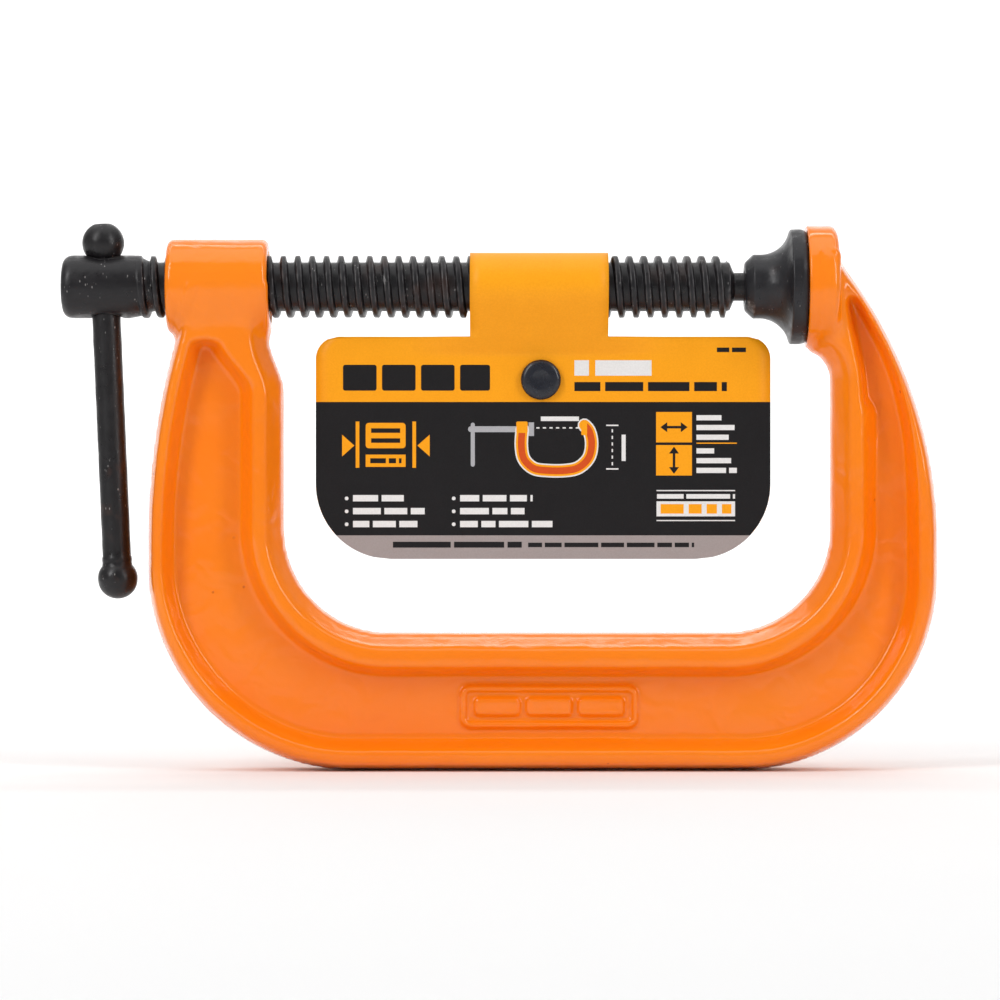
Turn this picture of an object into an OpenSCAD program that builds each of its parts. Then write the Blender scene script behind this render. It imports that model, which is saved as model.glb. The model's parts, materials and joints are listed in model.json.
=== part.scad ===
// Four inch C clamp: cast C frame, screw with a sliding bar handle, swivel pad, and a folded hang card.
// X runs from the boss to the anvil, Z is up, Y is across the casting. The spine stands on Z = 0.

/* [Frame casting] */
// Distance from the centre to the outer side of the anvil upright
frame_right = 96.4; // [96:0.1:98]
// Distance from the centre to the outer side of the boss upright
frame_left = 77.6; // [77:0.1:78.5]
// Height of the throat above the bottom of the spine
spine_h = 30.2; // [28:0.1:31]
// Distance from the centre to the inner side of the boss upright
throat_left = 47.6; // [46.5:0.1:48.5]
// Distance from the centre to the inner side of the anvil upright
throat_right = 72.8; // [72:0.1:73.5]
// Width of the flanges across the casting
flange_w = 17; // [15:0.5:19]
// Thickness of the web between the flanges
web_t = 6; // [5:0.5:7]
// Width of the flat land along the mould's parting line
parting_w = 5; // [4:0.5:6]
// Radius of the outer corner below the boss
corner_left_r = 45; // [43:1:45]
// Radius of the outer corner below the anvil
corner_right_r = 43; // [42:1:44]
// Radius of both throat corners
throat_r = 23; // [22:0.5:24]

/* [Boss and anvil] */
// Height of the screw's axis above the bottom of the spine
axis_z = 106.4; // [106:0.1:107]
// Radius of the threaded boss
boss_r = 10.45; // [10:0.05:11]
// Length of the threaded boss
boss_l = 22.2; // [21:0.1:23]
// Place of the boss's inner face along the screw
boss_face_x = -51; // [-51.5:0.1:-50.5]
// Radius of the hole through the boss
bore_r = 7.15; // [7.1:0.05:7.4]
// Radius of the anvil disc
anvil_r = 13.45; // [13:0.05:13.5]
// Thickness of the anvil disc
anvil_t = 6.8; // [6:0.1:7]

/* [Screw] */
// Place of the anvil's face along the screw
anvil_x = 67.3; // [67:0.1:67.5]
// Outer diameter of the thread
thread_d = 13.65; // [13:0.05:13.7]
// Root diameter of the thread
thread_root_d = 10.8; // [10.5:0.1:11.4]
// Pitch of the thread, eight turns to the inch
pitch = 3.175; // [3:0.005:3.3]
// Width of the thread's crest
crest_w = 1.1; // [0.9:0.05:1.3]
// Width of each flank of the thread
flank_w = 0.45; // [0.3:0.05:0.5]
// Diameter of the plain hub that carries the handle
hub_d = 13.9; // [13.7:0.1:14]
// Diameter of the neck behind the ball
neck_d = 6.2; // [5.8:0.1:6.2]
// Diameter of the ball on the screw's end
ball_d = 8.6; // [8.5:0.1:8.7]

/* [Handle] */
// Diameter of the bar handle
bar_d = 6.25; // [6:0.05:6.35]
// Diameter of the cross hole in the hub
cross_hole_d = 7.1; // [7:0.05:7.2]
// Distance between the centres of the two balls
handle_l = 74.5; // [72:0.5:76]
// Lean of the handle in its hole, with its lower end towards the frame
handle_lean = 2.5; // [2:0.1:2.8]
// Diameter of the ball pressed on the top end
top_ball_d = 9.24; // [9.1:0.02:9.4]
// Diameter of the ball forged on the bottom end
low_ball_d = 8.8; // [8.4:0.1:8.8]

/* [Swivel pad] */
// Diameter of the pad's face
pad_d = 25.4; // [25:0.1:25.6]
// Length of the pad along the screw
pad_l = 13.4; // [13.2:0.1:13.5]
// Diameter of the pad's small end
pad_small_d = 14.1; // [14:0.1:14.6]
// Clearance between the ball and its socket
socket_gap = 0.3; // [0.3:0.05:0.35]

/* [Hang card] */
// Thickness of one layer of the card
card_t = 0.45; // [0.4:0.05:0.5]
// Length of the card along the screw
card_l = 100.2; // [96:0.2:101]
// Height of the card's flat body
card_h = 49; // [46:0.5:50]
// Width of the band that goes over the screw
band_w = 30.4; // [28:0.2:32]
// Diameter of the rivet's heads
rivet_d = 9; // [8.4:0.1:9.4]

/* [Hidden] */
$fn = 64;

// Casting: the flange's draft and its rounded edge
edge_side = 1.4;
edge_face = 3;
edge_y = flange_w/2 - 1.6;
recess_out = 5.6;
recess_in = 7.6;
recess_slope = 0.7;
corner_steps = 10;
throat_cz = spine_h + throat_r;
left_curve_r = 167;
right_curve_r = 100;
right_curve_z = 50;
anvil_fillet_r = 7;
anvil_fillet_z = 85.5;
mark_x = 10.8;
mark_z = 14;
mark_l = 39;
mark_h = 9.2;
mark_rise = 0.7;

// Screw
thread_r = thread_d/2;
root_r = thread_root_d/2;
hub_left_x = -96.4;
hub_right_x = -80.6;
hub_round = 2;
thread_start_x = -82;
thread_end_x = 50.3;
steps_per_turn = 20;
thread_steps = floor((thread_end_x - thread_start_x)/pitch*steps_per_turn) - steps_per_turn;
fade_steps = 8;
hole_x = -87.07;
ball_x = anvil_x - 7.8;
jaw_gap = 0.05;
socket_r = ball_d/2 + socket_gap;
mouth_r = neck_d/2 + 0.6;

// Handle, along its own axis with the hub's hole at zero
top_ball_s = 10.1;
low_ball_s = top_ball_s - handle_l;
spigot_r = 2.45;
spigot_hole_r = 2.5;
shoulder_s = top_ball_s - sqrt(pow(top_ball_d/2, 2) - pow(bar_d/2, 2));
spigot_l = 5;

// Hang card
card_x = 9.5;
card_top = 95.4;
band_x = 8.6;
band_r = thread_r + 0.32;
fold_drop = 14.9;
rivet_x = 9;
rivet_z = 85.9;
rivet_stem_r = 1.8;

function smooth(t) = let(c = min(1, max(0, t))) c*c*(3 - 2*c);
function arc_x(z, r) = r - sqrt(r*r - z*z);
function along(a, b, s) = a + (b - a)/norm(b - a)*s;

// Each station across the casting: outer point, inner point, recess edge from each of them
function left_station(z) =
    let(outer = [-frame_left + arc_x(z - 50, left_curve_r), z],
        inner = [-throat_left - 3.7*smooth((z - 80)/15), z])
    [outer, inner, recess_out, recess_in + 3.4*smooth((z - 80)/14)];

function corner_station(a, cx_out, r_out, cx_in) =
    [[cx_out + r_out*cos(a), r_out + r_out*sin(a)],
     [cx_in + throat_r*cos(a), throat_cz + throat_r*sin(a)], recess_out, recess_in];

function right_outer(phi) = [frame_right - right_curve_r + right_curve_r*cos(phi),
                             right_curve_z + right_curve_r*sin(phi)];
function right_inner(phi) =
    phi < 22 ? [throat_right, throat_cz + 1.6*phi]
    : phi < 31 ? let(a = (phi - 22)*7.5)
        [throat_right - anvil_fillet_r + anvil_fillet_r*cos(a), anvil_fillet_z + anvil_fillet_r*sin(a)]
    : [anvil_x + 1.7, 65 + phi];
function right_station(phi) =
    let(outer = right_outer(phi), inner = right_inner(phi),
        room = max(1.6, 13*(1 - phi/34)),
        edge = recess_out - phi/25)
    [outer, inner, edge, norm(inner - outer) - edge - room];

left_heights = [105, 98, 94.5, 91, 88, 85, 82, 79, 70, 61];
right_angles = [5, 11, 16, 21, 24, 26.5, 29, 32, 35.5, 39.6];
stations = concat(
    [for (z = left_heights) left_station(z)],
    [for (i = [0:corner_steps])
        corner_station(180 + 90*i/corner_steps, corner_left_r - frame_left, corner_left_r,
                       throat_r - throat_left)],
    [for (i = [0:corner_steps])
        corner_station(270 + 90*i/corner_steps, frame_right - corner_right_r, corner_right_r,
                       throat_right - throat_r)],
    [for (phi = right_angles) right_station(phi)]);
recess_last = len(stations) - 4;

// Half thickness of the web at station i: the recess starts under the boss and runs out before the anvil
function web_half(i) = i > recess_last ? flange_w/2 : web_t/2;

// The casting's I section at one station: drafted sides, rounded edges and a recess on each face
function section(st, web) =
    let(w = norm(st[1] - st[0]),
        half = [[0, parting_w/2], [edge_side, edge_y], [edge_face, flange_w/2],
                [st[2] - recess_slope, flange_w/2], [st[2] + recess_slope, web],
                [w - st[3] - recess_slope, web], [w - st[3] + recess_slope, flange_w/2],
                [w - edge_face, flange_w/2], [w - edge_side, edge_y], [w, parting_w/2]],
        ring = concat(half, [for (i = [len(half) - 1:-1:0]) [half[i][0], -half[i][1]]]))
    [for (q = ring) let(p = along(st[0], st[1], q[0])) [p[0], q[1], p[1]]];

module casting_bar() {
    n = 20;
    last = len(stations) - 1;
    points = [for (i = [0:last]) each section(stations[i], web_half(i))];
    sides = [for (i = [0:last - 1], j = [0:n - 1])
        let(a = i*n + j, b = i*n + (j + 1)%n) [a, a + n, b + n, b]];
    polyhedron(points, concat([[for (j = [0:n - 1]) j]], sides, [[for (j = [n - 1:-1:0]) last*n + j]]),
               convexity = 8);
}

// A plain raised border with three bars stands on each side of the web
module web_mark() {
    bar_l = mark_l/3 - 3;
    for (side = [-1, 1])
        translate([mark_x, side*(web_t/2 + mark_rise/2 - 0.1), mark_z]) {
            difference() {
                cube([mark_l, mark_rise + 0.2, mark_h], center = true);
                cube([mark_l - 2.4, mark_rise + 1, mark_h - 2.4], center = true);
            }
            for (i = [-1:1])
                translate([i*(bar_l + 1.4), 0, 0])
                    cube([bar_l, mark_rise + 0.2, mark_h - 5.2], center = true);
        }
}

// Turns a profile of [distance along X, radius] points about the screw's axis
module turned(profile) {
    translate([0, 0, axis_z])
        rotate([0, 90, 0])
            rotate_extrude() polygon([for (p = profile) [p[1], p[0]]]);
}

// Quarter round in profile form, from angle a0 to a1 about [x, r]
function round_points(x, r, radius, a0, a1, n = 5) =
    [for (i = [0:n]) let(a = a0 + (a1 - a0)*i/n) [x + radius*cos(a), r + radius*sin(a)]];

module boss() {
    r = 1.3;
    turned(concat([[boss_face_x - boss_l, 0]],
                  round_points(boss_face_x - boss_l + r, boss_r - r, r, 180, 90),
                  round_points(boss_face_x - r, boss_r - r, r, 90, 0),
                  [[boss_face_x, 0]]));
}

module bore() {
    lead = 0.8;
    low = boss_face_x - boss_l;
    turned([[low - 1, 0], [low - 1, bore_r + lead], [low, bore_r + lead], [low + lead, bore_r],
            [boss_face_x - lead, bore_r], [boss_face_x, bore_r + lead], [boss_face_x + 1, bore_r + lead],
            [boss_face_x + 1, 0]]);
}

module anvil() {
    r = 2.6;
    turned(concat([[anvil_x, 0], [anvil_x, anvil_r - 0.5], [anvil_x + 0.5, anvil_r]],
                  round_points(anvil_x + anvil_t - r, anvil_r - r, r, 90, 0),
                  [[anvil_x + anvil_t, 0]]));
}

module frame() {
    color("darkorange")
        difference() {
            union() {
                casting_bar();
                boss();
                anvil();
                web_mark();
            }
            bore();
        }
}

// One continuous right-hand ridge: four points across the profile at every step round the axis
function thread_point(k, j) =
    let(rise = smooth((thread_steps - k)/fade_steps),
        r = (j == 1 || j == 2) ? root_r + (thread_r - root_r)*rise : root_r,
        profile_x = [0, flank_w, flank_w + crest_w, 2*flank_w + crest_w],
        a = 360*k/steps_per_turn)
    [thread_start_x + pitch*k/steps_per_turn + profile_x[j], r*cos(a), axis_z + r*sin(a)];

module thread() {
    n = steps_per_turn;
    last = thread_steps;
    points = concat([for (k = [0:last + n], j = [0:3]) thread_point(min(k, last + n), j)],
                    [[thread_start_x + pitch, 0, axis_z], [thread_start_x + pitch*last/n, 0, axis_z]]);
    start_hub = 4*(last + n + 1);
    end_hub = start_hub + 1;
    ridge = [for (k = [0:last - 1], j = [0:2]) let(a = 4*k + j) [a, a + 1, a + 5, a + 4]];
    root = [for (k = [0:last - 1]) [4*k + 3, 4*(k + n), 4*(k + n) + 4, 4*k + 7]];
    start_cap = concat([for (k = [0:n - 1]) [4*k, 4*k + 4, start_hub]],
                       [for (j = [0:2]) [j + 1, j, start_hub]],
                       [[4*n, 3, start_hub]]);
    end_cap = concat([for (k = [last:last + n - 1]) [4*k + 4, 4*k, end_hub]],
                     [for (j = [0:2]) [4*last + j, 4*last + j + 1, end_hub]],
                     [[4*last + 3, 4*(last + n), end_hub]]);
    polyhedron(points, concat(ridge, root, start_cap, end_cap), convexity = 20);
}

module screw_core() {
    end_x = thread_end_x - pitch*0.2;
    turned(concat([[hub_left_x, 0]],
                  round_points(hub_left_x + hub_round, hub_d/2 - hub_round, hub_round, 180, 90),
                  [[hub_right_x, hub_d/2], [hub_right_x + 1.6, root_r - 0.05],
                   [end_x - 2.6, root_r - 0.05], [end_x, neck_d/2 + 1.2], [end_x + 1.1, neck_d/2],
                   [ball_x, neck_d/2], [ball_x, 0]]));
}

module on_handle() {
    translate([hole_x, 0, axis_z]) rotate([0, -handle_lean, 0]) children();
}

module screw() {
    color("#2b292c")
        difference() {
            union() {
                screw_core();
                thread();
                translate([ball_x, 0, axis_z]) sphere(d = ball_d);
            }
            on_handle() cylinder(d = cross_hole_d, h = 3*hub_d, center = true);
        }
}

module handle_bar() {
    collar_h = 1.2;
    collar_s = low_ball_s + low_ball_d/2 - 0.6;
    color("#302d30")
        on_handle() {
            translate([0, 0, low_ball_s]) cylinder(d = bar_d, h = shoulder_s - low_ball_s);
            translate([0, 0, shoulder_s - 1]) cylinder(r = spigot_r, h = spigot_l + 1);
            translate([0, 0, low_ball_s]) sphere(d = low_ball_d);
            translate([0, 0, collar_s]) cylinder(d = bar_d + 0.4, h = collar_h);
        }
}

module handle_ball() {
    flat_s = 4.28;
    color("#302d30")
        on_handle()
            difference() {
                translate([0, 0, top_ball_s])
                    intersection() {
                        sphere(d = top_ball_d);
                        translate([-10, -10, shoulder_s - top_ball_s])
                            cube([20, 20, flat_s - shoulder_s + top_ball_s]);
                    }
                translate([0, 0, shoulder_s - 1]) cylinder(r = spigot_hole_r, h = spigot_l + 1.2);
            }
}

module swivel_pad() {
    face_x = anvil_x - jaw_gap;
    back_x = face_x - pad_l;
    rim_t = 3;
    small_r = pad_small_d/2;
    flare_x = face_x - rim_t - 0.4;
    flare_r = pad_d/2 - small_r - 1.3;
    color("#333136")
        difference() {
            turned(concat([[back_x, 0], [back_x, small_r - 1.9], [back_x + 2.2, small_r],
                           [back_x + 4.4, small_r]],
                          round_points(flare_x - flare_r, small_r + flare_r + 0.1, flare_r, 270, 360, 8),
                          [[face_x - rim_t, pad_d/2], [face_x - 0.4, pad_d/2], [face_x, pad_d/2 - 0.4],
                           [face_x, 0]]));
            translate([ball_x, 0, axis_z]) sphere(r = socket_r);
            translate([back_x - 1, 0, axis_z])
                rotate([0, 90, 0])
                    cylinder(r = mouth_r, h = ball_x - back_x + 1);
        }
}

// The fold seen along the screw: round over the thread, then closing to a foot of the given half width
module fold(r, drop, foot, length) {
    lean = acos(r/drop);
    arc = [for (i = [0:24]) let(a = lean - 90 + (360 - 2*lean)*i/24) r*[cos(a), sin(a)]];
    translate([band_x, 0, axis_z])
        rotate([90, 0, 90])
            linear_extrude(height = length, center = true)
                polygon(concat(arc, [[-foot, -drop], [foot, -drop]]));
}

module card_outline() {
    top_r = 4.9;
    low_r = 16.5;
    left = card_x - card_l/2;
    right = card_x + card_l/2;
    low = card_top - card_h;
    top_round = [for (i = [0:6]) [top_r*(1 - sin(15*i)), card_top - top_r*(1 - cos(15*i))]];
    low_round = [for (i = [0:8]) [low_r*(1 - cos(11.25*i)), low + low_r*(1 - sin(11.25*i))]];
    side = concat(top_round, low_round);
    polygon(concat([for (p = side) [left + p[0], p[1]]],
                   [for (i = [len(side) - 1:-1:0]) [right - side[i][0], side[i][1]]]));
}

module at_rivet() {
    translate([rivet_x, 0, rivet_z]) rotate([90, 0, 0]) children();
}

module hang_card() {
    color("orange")
        difference() {
            union() {
                rotate([90, 0, 0]) linear_extrude(height = 2*card_t, center = true) card_outline();
                fold(band_r + card_t, fold_drop, card_t, band_w);
            }
            fold(band_r, fold_drop - 0.8, 0.02, band_w + 1);
            at_rivet() cylinder(r = rivet_stem_r, h = 10, center = true);
        }
}

// A domed head on the card's face, in front for side 0 and behind for side 180
module rivet_head(side, dome) {
    r = rivet_d/2;
    at_rivet()
        rotate([side, 0, 0])
            rotate_extrude()
                polygon([[0, card_t], [r, card_t], [r, card_t + 0.6], [r - 0.8, card_t + dome - 0.3],
                         [r - 2, card_t + dome], [0, card_t + dome]]);
}

module rivet_button() {
    color("#1d2028") {
        rivet_head(0, 1.7);
        at_rivet() cylinder(r = rivet_stem_r, h = 3, center = true);
    }
}

module rivet_cap() {
    color("#1d2028")
        difference() {
            rivet_head(180, 1.9);
            at_rivet() cylinder(r = rivet_stem_r, h = 3.02, center = true);
        }
}

frame();
screw();
handle_bar();
handle_ball();
swivel_pad();
hang_card();
rivet_button();
rivet_cap();
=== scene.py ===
"""Looks of a four inch C clamp: enamelled casting, helical screw, lathed handle and pad, printed card."""

import json
import math

import bpy
import numpy as np
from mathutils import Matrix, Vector


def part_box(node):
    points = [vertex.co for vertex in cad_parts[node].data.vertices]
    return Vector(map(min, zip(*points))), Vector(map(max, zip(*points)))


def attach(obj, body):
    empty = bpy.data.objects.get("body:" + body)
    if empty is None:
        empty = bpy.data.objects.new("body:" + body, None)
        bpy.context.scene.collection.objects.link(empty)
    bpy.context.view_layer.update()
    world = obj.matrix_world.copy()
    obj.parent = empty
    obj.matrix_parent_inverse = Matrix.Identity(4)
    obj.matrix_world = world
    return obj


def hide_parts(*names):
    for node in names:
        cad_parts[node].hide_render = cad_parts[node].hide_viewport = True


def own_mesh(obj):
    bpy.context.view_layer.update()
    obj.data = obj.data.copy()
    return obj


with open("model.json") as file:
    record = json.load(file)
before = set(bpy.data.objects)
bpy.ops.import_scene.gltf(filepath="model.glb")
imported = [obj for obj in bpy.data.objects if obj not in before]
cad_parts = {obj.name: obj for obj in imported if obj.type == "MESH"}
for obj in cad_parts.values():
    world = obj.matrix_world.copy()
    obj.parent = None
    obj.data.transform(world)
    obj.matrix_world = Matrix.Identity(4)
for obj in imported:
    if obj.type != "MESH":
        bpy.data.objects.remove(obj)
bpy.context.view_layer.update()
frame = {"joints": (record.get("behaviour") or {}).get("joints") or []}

MM = 0.001
TAU = 2 * math.pi


# ---------- sizes taken from the frame
def node_box(name):
    """Lowest and highest corner of a CAD node, in millimetres."""
    low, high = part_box(name)
    return np.array(low) / MM, np.array(high) / MM


FRAME_LOW, FRAME_HIGH = node_box("frame")
SCREW_LOW = node_box("screw")[0]
PAD_LOW, PAD_HIGH = node_box("swivel_pad")
CARD_LOW, CARD_HIGH = node_box("hang_card")
RIVET_LOW, RIVET_HIGH = node_box("rivet_button")
CAP_HIGH = node_box("rivet_cap")[1]
JOINTS = {j["name"]: j for j in frame["joints"]}

AXIS_Z = (PAD_LOW[2] + PAD_HIGH[2]) / 2
PITCH = 3.175
ANVIL_X = PAD_HIGH[0] + 0.05


# ---------- mesh helpers
def smooth_step(t):
    """0 below 0, 1 above 1, and a smooth rise between."""
    t = np.clip(t, 0.0, 1.0)
    return t * t * (3 - 2 * t)


def new_object(name, points_mm, faces, smooth=True):
    """A mesh object from points in millimetres, linked to the scene."""
    mesh = bpy.data.meshes.new(name)
    mesh.from_pydata([tuple(p) for p in np.asarray(points_mm) * MM], [], faces)
    mesh.validate()
    if smooth:
        mesh.polygons.foreach_set("use_smooth", [True] * len(mesh.polygons))
    mesh.update()
    obj = bpy.data.objects.new(name, mesh)
    bpy.context.scene.collection.objects.link(obj)
    return obj


def apply_modifiers(obj):
    """Bakes the object's modifiers into its mesh."""
    graph = bpy.context.evaluated_depsgraph_get()
    done = bpy.data.meshes.new_from_object(obj.evaluated_get(graph))
    obj.modifiers.clear()
    obj.data = done
    return obj


def fillet_profile(points, rounds, steps=4):
    """A polyline with its corners rounded: rounds gives each corner's radius, 0 for a sharp one."""
    points = [np.array(p, float) for p in points]
    out = [points[0]]
    for before, at, after, radius in zip(points, points[1:], points[2:], rounds[1:-1]):
        if radius <= 0:
            out.append(at)
            continue
        a = (before - at) / np.linalg.norm(before - at)
        b = (after - at) / np.linalg.norm(after - at)
        reach = min(radius, 0.45 * np.linalg.norm(before - at), 0.45 * np.linalg.norm(after - at))
        for i in range(steps + 1):
            t = i / steps
            out.append(at + a * reach * (1 - t) ** 2 + b * reach * t ** 2)
    out.append(points[-1])
    return np.array(out)


def lathe(name, profile, segments=96, wobble=None):
    """Surface of revolution about the X axis from [x, radius] points, the first and the last on the axis."""
    profile = np.asarray(profile, float)
    angles = np.arange(segments) * TAU / segments
    points = [(profile[0][0], 0.0, 0.0)]
    for x, r in profile[1:-1]:
        for a in angles:
            rr = r if wobble is None else r + wobble(x, r, a)
            points.append((x, rr * math.cos(a), rr * math.sin(a)))
    points.append((profile[-1][0], 0.0, 0.0))
    faces = []
    rings = len(profile) - 2
    for j in range(segments):
        k = (j + 1) % segments
        faces.append((0, 1 + k, 1 + j))
        for i in range(rings - 1):
            a, b = 1 + i * segments, 1 + (i + 1) * segments
            faces.append((a + j, a + k, b + k, b + j))
        last = 1 + (rings - 1) * segments
        faces.append((last + j, last + k, len(points) - 1))
    return new_object(name, points, faces)


# ---------- materials
class Nodes:
    """A short way to write shader nodes."""

    def __init__(self, name):
        self.material = bpy.data.materials.new(name)
        self.material.use_nodes = True
        self.tree = self.material.node_tree
        self.tree.nodes.clear()
        self.out = self.tree.nodes.new("ShaderNodeOutputMaterial")
        self.shader = self.tree.nodes.new("ShaderNodeBsdfPrincipled")
        self.tree.links.new(self.shader.outputs[0], self.out.inputs[0])
        self.coords = self.tree.nodes.new("ShaderNodeTexCoord").outputs["Object"]

    def feed(self, socket, value):
        """Links a socket to another one's output, or sets its number."""
        if isinstance(value, bpy.types.NodeSocket):
            self.tree.links.new(value, socket)
        else:
            socket.default_value = value

    def set(self, **values):
        """Feeds the main shader's sockets by name."""
        for key, value in values.items():
            self.feed(self.shader.inputs[key.replace("_", " ")], value)

    def add(self, kind, output, **inputs):
        """One output of a new node whose inputs are fed by name."""
        node = self.tree.nodes.new("ShaderNode" + kind)
        for key, value in inputs.items():
            self.feed(node.inputs[key.replace("_", " ")], value)
        return node.outputs[output]

    def noise(self, scale, detail, distortion=0.0):
        return self.add("TexNoise", 0, Vector=self.coords, Scale=scale, Detail=detail, Distortion=distortion)

    def flecks(self, scale, stretch=(1, 1, 1)):
        """Distance to the nearest of many scattered points."""
        vector = self.add("Mapping", 0, Vector=self.coords, Scale=stretch)
        return self.add("TexVoronoi", "Distance", Vector=vector, Scale=scale)

    def spread_roughness(self, value, smooth, rough):
        """A roughness that varies between two values with a noise."""
        node = self.tree.nodes.new("ShaderNodeValToRGB")
        for element, place, level in zip(node.color_ramp.elements, (0.3, 0.7), (smooth, rough)):
            element.position = place
            element.color = (level, level, level, 1)
        self.tree.links.new(value, node.inputs[0])
        return node.outputs[0]

    def levels(self, value, low, high):
        """0 at low, 1 at high, and held beyond them."""
        return self.add("MapRange", 0, Value=value, From_Min=low, From_Max=high)

    def math(self, kind, a, b):
        """Sum, difference or product of two values."""
        node = self.tree.nodes.new("ShaderNodeMath")
        node.operation = kind
        self.feed(node.inputs[0], a)
        self.feed(node.inputs[1], b)
        return node.outputs[0]

    def mix(self, share, a, b):
        """A blend of two colours, all of b where share is 1."""
        node = self.tree.nodes.new("ShaderNodeMix")
        node.data_type = "RGBA"
        self.feed(node.inputs[0], share)
        self.feed(node.inputs[6], a if isinstance(a, bpy.types.NodeSocket) else (*a, 1))
        self.feed(node.inputs[7], b if isinstance(b, bpy.types.NodeSocket) else (*b, 1))
        return node.outputs[2]

    def bump(self, height, strength, distance, normal=None):
        """A bumped normal, on top of another one where it is given."""
        below = {} if normal is None else {"Normal": normal}
        return self.add("Bump", 0, Height=height, Strength=strength, Distance=distance, **below)

    def edges(self, low, high):
        """1 on worn convex edges."""
        return self.levels(self.add("NewGeometry", "Pointiness"), low, high)


def enamel_material():
    """Glossy orange dipped enamel over a sand casting: orange peel, slow waves, tiny pits and dust."""
    n = Nodes("orange_enamel")
    broad = n.noise(28, 2.0)
    fine = n.noise(420, 2.0)
    pits = n.levels(n.flecks(170), 0.035, 0.075)
    pit_places = n.levels(n.noise(60, 1.0), 0.60, 0.66)
    pit_mask = n.math("MULTIPLY", n.math("SUBTRACT", 1.0, pits), pit_places)
    base = n.mix(n.levels(broad, 0.3, 0.7), (0.95, 0.205, 0.002), (0.95, 0.232, 0.004))
    base = n.mix(n.math("MULTIPLY", pit_mask, 0.75), base, (0.45, 0.06, 0.004))
    peel = n.bump(fine, 0.30, 0.00015)
    waves = n.bump(n.noise(140, 1.5, distortion=0.6), 0.55, 0.0009, peel)
    dents = n.bump(n.noise(55, 1.0), 0.45, 0.0024, waves)
    holes = n.bump(n.math("SUBTRACT", 1.0, pit_mask), 0.6, 0.0002, dents)
    rough = n.spread_roughness(n.noise(90, 3.0), 0.13, 0.24)
    n.set(Base_Color=base, Roughness=rough, Normal=holes, Coat_Weight=0.35, Coat_Roughness=0.07,
          IOR=1.5, Specular_IOR_Level=0.3)
    return n.material


def black_oxide(name, tone, wear, rust, dust):
    """Blackened steel: a satin oxide skin, grey worn edges, pale dust specks and a breath of rust."""
    n = Nodes(name)
    cloud = n.noise(260, 4.0)
    base = n.mix(cloud, tuple(0.75 * c for c in tone), tuple(1.35 * c for c in tone))
    rust_mask = n.math("MULTIPLY", n.levels(n.noise(110, 3.0), 0.58, 0.75), rust)
    base = n.mix(rust_mask, base, (0.16, 0.055, 0.025))
    worn = n.math("MULTIPLY", n.edges(0.52, 0.59), n.levels(n.noise(700, 2.0), 0.35, 0.65))
    worn = n.math("MULTIPLY", worn, wear)
    base = n.mix(worn, base, (0.34, 0.33, 0.33))
    speck_size = n.levels(n.flecks(1500, (1.0, 0.8, 0.4)), 0.21, 0.10)
    speck_place = n.levels(n.noise(330, 2.0), 0.53, 0.64)
    specks = n.math("MULTIPLY", n.math("MULTIPLY", speck_size, speck_place), dust)
    base = n.mix(specks, base, (0.42, 0.40, 0.39))
    rough = n.spread_roughness(n.noise(500, 3.0), 0.26, 0.46)
    grain = n.bump(n.noise(1500, 3.0), 0.35, 0.00012)
    scale = n.bump(cloud, 0.25, 0.0003, grain)
    n.set(Base_Color=base, Roughness=rough, Normal=scale, Metallic=0.15, Specular_IOR_Level=0.42)
    return n.material


def plastic_material():
    """Glossy navy-black moulded plastic with faint flow marks."""
    n = Nodes("rivet_plastic")
    base = n.mix(n.noise(300, 2.0), (0.007, 0.008, 0.013), (0.011, 0.013, 0.022))
    rough = n.spread_roughness(n.noise(600, 2.0), 0.22, 0.34)
    n.set(Base_Color=base, Roughness=rough, Normal=n.bump(n.noise(900, 2.0), 0.15, 0.0001))
    return n.material


def ink_material(name, colour):
    """Offset ink on coated card: tiny screen grain, faint mottle and the board's slow waves."""
    n = Nodes(name)
    grain = n.levels(n.noise(2600, 2.0), 0.35, 0.75)
    mottle = n.noise(160, 2.0)
    darker = tuple(0.90 * c for c in colour)
    lighter = tuple(min(1.0, 1.05 * c + 0.004) for c in colour)
    base = n.mix(n.math("MULTIPLY", n.math("ADD", grain, mottle), 0.5), darker, lighter)
    waves = n.bump(n.noise(45, 1.0), 0.12, 0.0006)
    fibre = n.bump(n.noise(1400, 2.0), 0.10, 0.00008, waves)
    n.set(Base_Color=base, Roughness=0.42, Normal=fibre, Specular_IOR_Level=0.22)
    return n.material


def floor_material():
    """Matt white with a barely visible mottle."""
    n = Nodes("studio_white")
    base = n.mix(n.noise(6, 2.0), (0.90, 0.90, 0.90), (0.92, 0.92, 0.92))
    n.set(Base_Color=base, Roughness=0.9)
    return n.material


# ---------- the casting
LEFT_X = FRAME_LOW[0]
RIGHT_X = FRAME_HIGH[0]
SPINE_H = 30.2
THROAT_LEFT = -47.6
THROAT_RIGHT = 72.8
CORNER_LEFT_R = 45.0
CORNER_RIGHT_R = 43.0
THROAT_R = 23.0
FLANGE_Y = 8.5
WEB_Y = 3.0
BOSS_X = (-73.2, -51.0)
BOSS_R = 10.45
BORE_R = 7.15
ANVIL_R = FRAME_HIGH[1]
ANVIL_T = 6.8
BOW_Z = 50.0
LEFT_BOW_R = 167.0
RIGHT_BOW_R = 100.0
RIGHT_BOW_END = 39.4
SECTION_TOP = 113.0
CURVE_TOP = 108.0
MIDDLE_X = 20.0
RECESS_TOP_LEFT = 94.6
RECESS_TOP_RIGHT = 104.6
MARK_RELIEF = 0.95
RIPPLE = 0.14
BOSS_EDGE_R = 1.5
BOSS_FILLET = 2.6
ANVIL_EDGE_R = 1.9
ANVIL_FILLET = 2.4
SHARP_EDGE_R = 0.3
MOUTH_CHAMFER = 0.8
STEP = 0.5
SPACING = 0.25


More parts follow.
